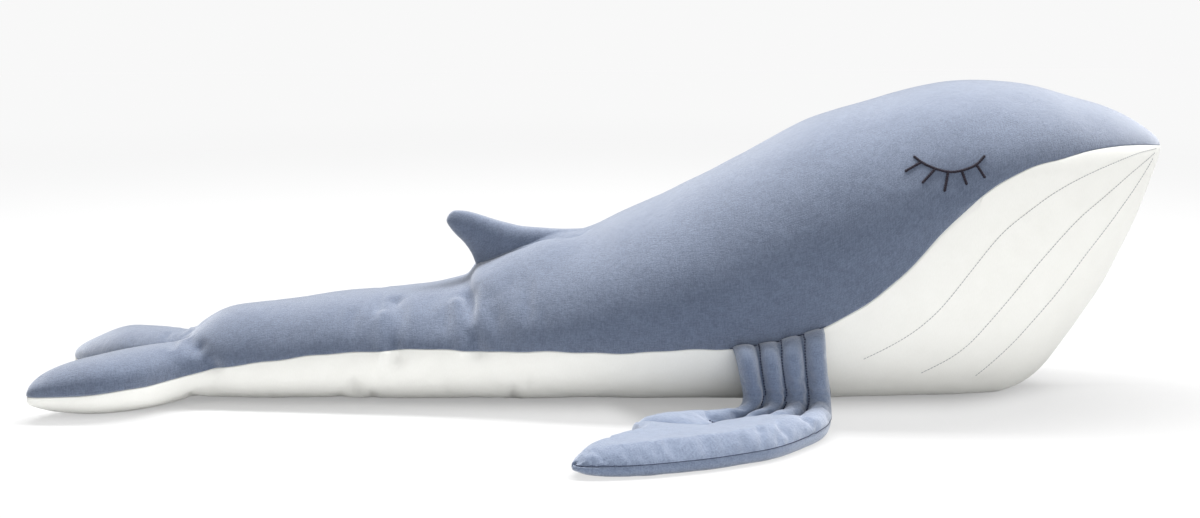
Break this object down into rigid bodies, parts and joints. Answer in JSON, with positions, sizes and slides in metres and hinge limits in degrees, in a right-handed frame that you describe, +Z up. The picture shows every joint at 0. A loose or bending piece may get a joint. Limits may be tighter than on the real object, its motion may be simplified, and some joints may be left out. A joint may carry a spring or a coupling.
{
  "type": "plush whale",
  "caption": "Stuffed toy whale of sewn panels: round head with stitched throat, hanging folded flippers, dorsal fin and soft tail flukes, lying on its belly.",
  "frame": {"origin": "middle of the toy's box at the floor that it lies on", "axes": "+X towards the snout, +Y the whale's left, +Z up"},
  "size_m": [1.0123, 0.5506, 0.2846],
  "materials": {
    "blue_cloth": "brushed knit, matte",
    "flipper_cloth": "brushed knit, matte, with a nap",
    "white_cloth": "smooth knit, matte",
    "eye_thread": "embroidery thread",
    "stuffing": "polyester fibre filling"
  },
  "bodies": {
    "body": {"torso_side_panel_left": "blue_cloth", "torso_side_panel_right": "blue_cloth", "torso_belly_panel": "white_cloth", "torso_stuffing": "stuffing", "eye_left": "eye_thread", "eye_right": "eye_thread"},
    "waist": {"waist_side_panel_left": "blue_cloth", "waist_side_panel_right": "blue_cloth", "waist_belly_panel": "white_cloth", "waist_stuffing": "stuffing"},
    "tail": {"tail_side_panel_left": "blue_cloth", "tail_side_panel_right": "blue_cloth", "tail_belly_panel": "white_cloth", "tail_stuffing": "stuffing", "crease_side_panel_left": "blue_cloth", "crease_side_panel_right": "blue_cloth", "crease_belly_panel": "white_cloth", "crease_stuffing": "stuffing"},
    "flukes": {"fluke_top_panel_left": "blue_cloth", "fluke_top_panel_right": "blue_cloth", "fluke_under_panel_left": "white_cloth", "fluke_under_panel_right": "white_cloth", "fluke_stuffing": "stuffing"},
    "dorsal_fin": {"fin_panel_left": "blue_cloth", "fin_panel_right": "blue_cloth", "fin_stuffing": "stuffing"},
    "flipper_left_arm": {"flipper_left_arm_upper_panel": "flipper_cloth", "flipper_left_arm_lower_panel": "flipper_cloth", "flipper_left_arm_stuffing": "stuffing", "flipper_left_fold_upper_panel": "flipper_cloth", "flipper_left_fold_lower_panel": "flipper_cloth", "flipper_left_fold_stuffing": "stuffing"},
    "flipper_left_blade": {"flipper_left_blade_upper_panel": "flipper_cloth", "flipper_left_blade_lower_panel": "flipper_cloth", "flipper_left_blade_stuffing": "stuffing"},
    "flipper_right_arm": {"flipper_right_arm_upper_panel": "flipper_cloth", "flipper_right_arm_lower_panel": "flipper_cloth", "flipper_right_arm_stuffing": "stuffing", "flipper_right_fold_upper_panel": "flipper_cloth", "flipper_right_fold_lower_panel": "flipper_cloth", "flipper_right_fold_stuffing": "stuffing"},
    "flipper_right_blade": {"flipper_right_blade_upper_panel": "flipper_cloth", "flipper_right_blade_lower_panel": "flipper_cloth", "flipper_right_blade_stuffing": "stuffing"}
  },
  "joints": [
    {"name": "tail_swing", "type": "hinge", "parent": "body", "child": "waist", "pos_m": [-0.135, 0, 0], "axis": [0, 0, 1], "range_deg": [-28, 28], "deforming": ["waist_side_panel_left", "waist_side_panel_right", "waist_belly_panel", "waist_stuffing"]},
    {"name": "tail_lift", "type": "hinge", "parent": "waist", "child": "tail", "pos_m": [-0.19997, 0, 0.04944], "axis": [0, 1, 0], "range_deg": [-12, 30]},
    {"name": "fluke_flap", "type": "hinge", "parent": "tail", "child": "flukes", "pos_m": [-0.354, 0, 0.0393], "axis": [0, 1, 0], "range_deg": [-30, 30], "deforming": ["crease_side_panel_left", "crease_side_panel_right", "crease_belly_panel", "crease_stuffing"]},
    {"name": "fin_flop", "type": "hinge", "parent": "body", "child": "dorsal_fin", "pos_m": [-0.01736, 0, 0.1602], "axis": [0.9379, 0, 0.3468], "range_deg": [-25, 25], "stiffness_Nm_per_rad": 0.05},
    {"name": "flipper_left_swing", "type": "hinge", "parent": "body", "child": "flipper_left_arm", "pos_m": [0.10302, 0.11275, 0.06439], "axis": [0.9768, 0.0527, 0.2078], "range_deg": [0, 90], "deforming": ["flipper_left_fold_upper_panel", "flipper_left_fold_lower_panel", "flipper_left_fold_stuffing"]},
    {"name": "flipper_left_fold", "type": "hinge", "parent": "flipper_left_arm", "child": "flipper_left_blade", "pos_m": [0.18196, 0.119, 0.0076], "axis": [1, 0, 0], "range_deg": [-88, 25]},
    {"name": "flipper_right_swing", "type": "hinge", "parent": "body", "child": "flipper_right_arm", "pos_m": [0.10302, -0.11275, 0.06439], "axis": [-0.9768, 0.0527, -0.2078], "range_deg": [0, 90], "deforming": ["flipper_right_fold_upper_panel", "flipper_right_fold_lower_panel", "flipper_right_fold_stuffing"]},
    {"name": "flipper_right_fold", "type": "hinge", "parent": "flipper_right_arm", "child": "flipper_right_blade", "pos_m": [0.18196, -0.119, 0.0076], "axis": [-1, 0, 0], "range_deg": [-88, 25]}
  ]
}
